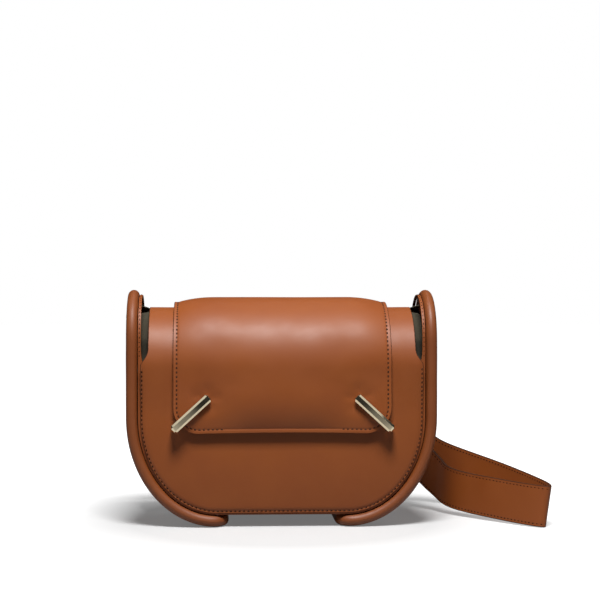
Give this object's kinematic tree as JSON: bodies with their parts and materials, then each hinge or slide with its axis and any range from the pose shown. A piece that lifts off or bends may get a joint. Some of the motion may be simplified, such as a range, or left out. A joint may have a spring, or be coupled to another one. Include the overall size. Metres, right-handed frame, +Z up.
{
  "type": "satchel",
  "caption": "Saddle-shaped leather satchel with padded side rims, a fold-over flap, swivelling clasp bars and a shoulder strap.",
  "frame": {"origin": "middle of the base's underside, 8.5 mm above the floor that the rims' feet stand on", "axes": "+Z up, +X to the right as the front is looked at, -Y towards the front, where the flap closes"},
  "size_m": [0.3075, 0.1319, 0.1686],
  "materials": {
    "leather": "smooth tan calf leather, soft sheen",
    "lining": "olive suede-like lining",
    "board": "stiffening board, matt",
    "padding": "soft padding",
    "cord": "cotton filler cord",
    "pale_gold": "polished, pale gold plated",
    "steel": "plain plated steel"
  },
  "bodies": {
    "bag": {"front_panel": "leather", "front_board": "board", "front_lining": "lining", "back_panel": "leather", "back_board": "board", "back_lining": "lining", "slip_pocket": "lining", "base_strip": "leather", "base_board": "board", "base_lining": "lining", "left_gusset": "leather", "left_gusset_lining": "lining", "right_gusset": "leather", "right_gusset_lining": "lining", "left_rim": "leather", "left_rim_cord": "cord", "right_rim": "leather", "right_rim_cord": "cord", "front_welt": "leather", "back_welt": "leather", "flap_fold": "leather", "left_catch_magnet": "steel", "right_catch_magnet": "steel", "strap": "leather", "left_lower_stud": "pale_gold", "left_lower_stud_cap": "pale_gold", "left_upper_stud": "pale_gold", "left_upper_stud_cap": "pale_gold", "right_lower_stud": "pale_gold", "right_lower_stud_cap": "pale_gold", "right_upper_stud": "pale_gold", "right_upper_stud_cap": "pale_gold"},
    "flap": {"flap": "leather", "flap_pad": "padding", "flap_lining": "lining", "left_post_nut": "steel", "right_post_nut": "steel"},
    "left_bar": {"left_bar": "pale_gold", "left_post": "pale_gold"},
    "right_bar": {"right_bar": "pale_gold", "right_post": "pale_gold"}
  },
  "joints": [
    {"name": "flap_hinge", "type": "hinge", "parent": "bag", "child": "flap", "pos_m": [0, 0.03126, 0.14134], "axis": [-1, 0, 0], "range_deg": [0, 120]},
    {"name": "left_bar_swivel", "type": "hinge", "parent": "flap", "child": "left_bar", "pos_m": [-0.054, -0.0436, 0.0827], "axis": [0, -1, 0], "range_deg": [-40, 40]},
    {"name": "right_bar_swivel", "type": "hinge", "parent": "flap", "child": "right_bar", "pos_m": [0.054, -0.0436, 0.0827], "axis": [0, -1, 0], "range_deg": [-40, 40]}
  ]
}
